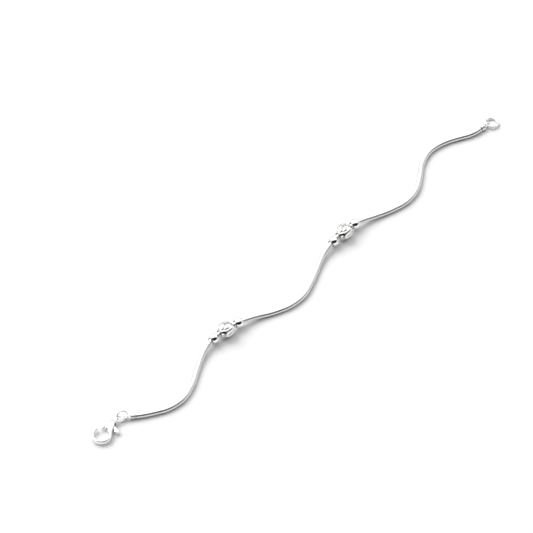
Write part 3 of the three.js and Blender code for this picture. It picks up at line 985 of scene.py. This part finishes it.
def lever_outline():
    """Out along the gate's right side, round its end and back, then the same for the knob, with a
    point of the hub between them on either side."""
    gate_length = np.linalg.norm(gate_end - pivot) + GATE_HALF
    gate = [
        (HUB_RADIUS * 0.75, HUB_RADIUS * 0.75),
        (HUB_RADIUS * 1.3, GATE_HALF * 1.1),
        (gate_length * 0.6, GATE_HALF),
        (gate_length - GATE_HALF * 0.7, GATE_HALF * 0.95),
        (gate_length - GATE_HALF * 0.12, GATE_HALF * 0.5),
    ]
    thumb = [
        (HUB_RADIUS * 0.75, HUB_RADIUS * 0.75),
        (HUB_RADIUS * 1.25, KNOB_NECK),
        (KNOB_REACH * 0.8, KNOB_RADIUS * 0.75),
        (KNOB_REACH, KNOB_RADIUS),
        (KNOB_REACH + KNOB_RADIUS * 0.7, KNOB_RADIUS * 0.7),
        (KNOB_REACH + KNOB_RADIUS, KNOB_RADIUS * 0.2),
    ]
    front_of_hub = (gate_heading + KNOB_HEADING) / 2
    back_of_hub = front_of_hub + 180
    sides = [
        bar_side(gate_heading, gate, -1),
        bar_side(gate_heading, gate, 1)[::-1],
        pivot[None] + HUB_RADIUS * bearing([front_of_hub]),
        bar_side(KNOB_HEADING, thumb, -1),
        bar_side(KNOB_HEADING, thumb, 1)[::-1],
        pivot[None] + HUB_RADIUS * bearing(back_of_hub + HUB_SPREAD * np.arange(-1, 2)),
    ]
    return closed_curve(np.vstack(sides), STATION_STEPS)


def make_lever():
    bar = plate(lever_outline(), LEVER_HALF, LEVER_EDGE)
    piece = make_piece("clasp_lever_bar", [surface(in_clasp(bar))], "clasp_lever", clasp_silver)
    cut(piece, [rivet_bore()])


def make_rivet():
    """A pin whose ends are rounded over: its radius falls off as a quarter circle."""
    path = pivot - RIVET_HALF * np.cos(np.linspace(0, np.pi, RIVET_ROWS))[:, None] * UP
    full = rounded_ends(path, RIVET_ROUNDING)
    pin = sweep(path, np.array([[1.0, 0, 0]]), RIVET_RADIUS * full * [1, 1], section(WIRE_COLUMNS))
    make_piece("clasp_pin", [surface(in_clasp(pin))], "clasp_rivet", clasp_silver)


make_lever()
make_rivet()

# %% [markdown]
# ## Light and floor
# The anklet lies on white in a bright tent. What makes silver look like silver is what it mirrors:
# white nearly all round, a grey strip along the horizon, and the dark side from which the tent is
# open, which shows as a black spot in each bead and a dark line along the chain. All of that is in
# the sky of the world, placed by direction, so it stays put in every view. A broad sun adds the
# soft shadow.

# %% World and lights
DARK_ELEVATION = 35
DARK_HALF_HEIGHT = 33
DARK_HALF_WIDTH = 76
DARK_TURN = 17
DARK_LEVEL = 0.02
DARK_FADE = (0.55, 1.45)
HORIZON_GREY = 0.42
HORIZON_FADE = (40, 1400)
SKY = 1.38
SUN_STRENGTH = 1.85
SUN_SPREAD = math.radians(40)
SUN_TILT = math.radians(42)
SUN_TURN = math.radians(2)
FLOOR_SIZE = 4000
FLOOR_TONE = (0.8, 0.8, 0.8, 1)
FLOOR_ROUGHNESS = 0.9


def soft_step(tree, value, fade, lowest):
    """A smooth step up to 1 from the lowest value, while the given value passes through the fade."""
    ends = {"Value": value, "From Min": fade[0], "From Max": fade[1], "To Min": lowest, "To Max": 1}
    return Wire(Wire.node(tree, "MapRange", {"interpolation_type": "SMOOTHSTEP"}, ends).outputs["Result"])


def make_world():
    """Elevation is the arc sine of the direction's height, and bearing the arc tangent of its two
    level parts, counted from the camera's side. The dark shape is an ellipse of these two angles, and
    the grey strip fades with the square of the elevation in degrees."""
    world = bpy.data.worlds.new("bright_tent")
    bpy.context.scene.world = world
    world.use_nodes = True
    tree = world.node_tree
    place = Wire(Wire.node(tree, "TexCoord", {}, {}).outputs["Generated"])
    parts = Wire.node(tree, "SeparateXYZ", {}, {"Vector": place})
    x, y, z = (Wire(parts.outputs[name]) for name in "XYZ")
    sine, cosine = math.sin(VIEW_AZIMUTH), math.cos(VIEW_AZIMUTH)
    towards = x * sine - y * cosine
    aside = x * cosine + y * sine
    turn = x.math("ARCTAN2", aside, towards) * (180 / math.pi)
    height = x.math("ARCSINE", z, 0) * (180 / math.pi)
    lengthwise = ((height - DARK_ELEVATION) * (1 / DARK_HALF_HEIGHT)) ** 2
    crosswise = ((turn - DARK_TURN) * (1 / DARK_HALF_WIDTH)) ** 2
    far = lengthwise + crosswise
    bright = soft_step(tree, far, DARK_FADE, DARK_LEVEL)
    strip = soft_step(tree, height * height, HORIZON_FADE, HORIZON_GREY)
    seen = Wire(Wire.node(tree, "LightPath", {}, {}).outputs["Is Camera Ray"])
    level = seen.math("MAXIMUM", bright * strip, seen) * SKY
    back = tree.nodes["Background"]
    tree.links.new(level.socket, back.inputs["Strength"])
    back.inputs["Color"].default_value = (1, 1, 1, 1)


def make_sun():
    data = bpy.data.lights.new("broad_sun", "SUN")
    data.energy = SUN_STRENGTH
    data.angle = SUN_SPREAD
    sun = bpy.data.objects.new("broad_sun", data)
    sun.rotation_euler = (SUN_TILT, 0, SUN_TURN + math.pi)
    bpy.context.scene.collection.objects.link(sun)


def make_floor():
    half = FLOOR_SIZE / 2 * MM
    mesh = bpy.data.meshes.new("floor")
    corners = [(-half, -half, 0), (half, -half, 0), (half, half, 0), (-half, half, 0)]
    mesh.from_pydata(corners, [], [(0, 1, 2, 3)])
    floor = bpy.data.objects.new("floor", mesh)
    bpy.context.scene.collection.objects.link(floor)
    material = bpy.data.materials.new("white_paper")
    material.use_nodes = True
    shader = material.node_tree.nodes["Principled BSDF"]
    shader.inputs["Base Color"].default_value = FLOOR_TONE
    shader.inputs["Roughness"].default_value = FLOOR_ROUGHNESS
    shader.inputs["Specular IOR Level"].default_value = 0
    mesh.materials.append(material)


make_world()
make_sun()
make_floor()
bpy.context.scene.view_settings.view_transform = "Standard"
